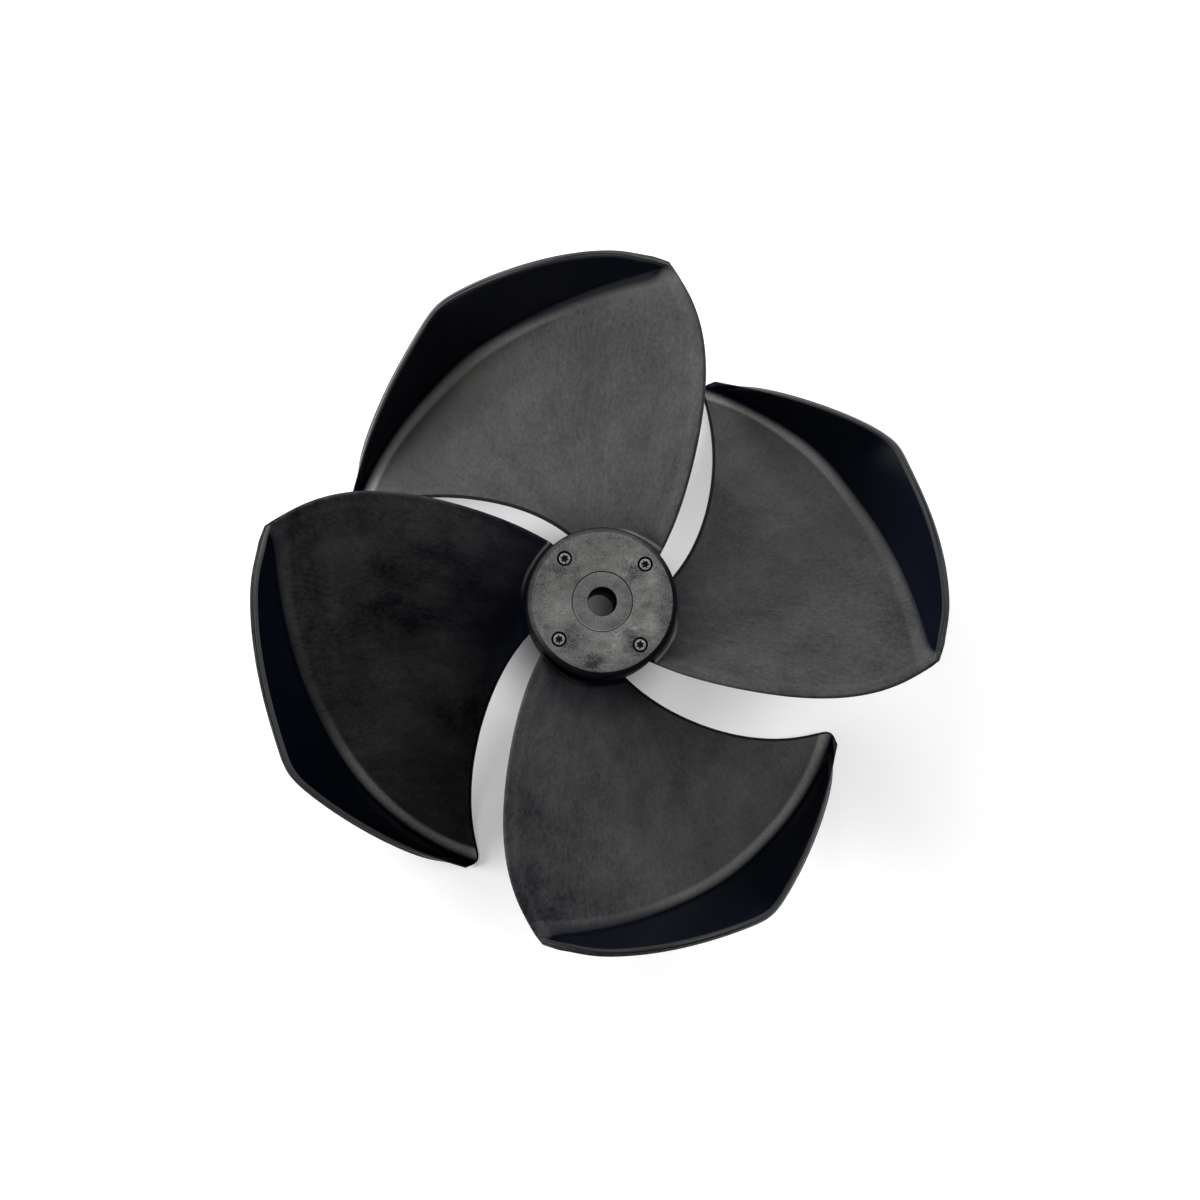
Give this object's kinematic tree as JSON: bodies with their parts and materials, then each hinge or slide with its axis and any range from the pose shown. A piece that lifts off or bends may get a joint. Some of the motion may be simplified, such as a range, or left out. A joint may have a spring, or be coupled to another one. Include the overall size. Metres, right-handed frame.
{
  "type": "four-bladed axial fan wheel",
  "caption": "Moulded axial fan wheel: wide pitched blades with tall turned-up tip lips round a flat-faced hub, with a flanged bush held by socket screws.",
  "frame": {"origin": "on the wheel's axis, level with the lowest corners of the blades' leading edges", "axes": "+Z along the wheel's axis, out of the hub's flat face; +Y towards blade_1 and +X towards blade_4, each 90 degrees from the next"},
  "size_m": [0.29, 0.29, 0.1265],
  "materials": {
    "moulded_plastic": "moulded charcoal plastic, fine streaks, satin",
    "bush_metal": "dark satin",
    "screw_steel": "blackened"
  },
  "bodies": {
    "root": {"hub": "moulded_plastic", "blade_1": "moulded_plastic", "blade_2": "moulded_plastic", "blade_3": "moulded_plastic", "blade_4": "moulded_plastic", "bush": "bush_metal", "screw_1": "screw_steel", "screw_2": "screw_steel", "screw_3": "screw_steel", "screw_4": "screw_steel"}
  },
  "joints": []
}
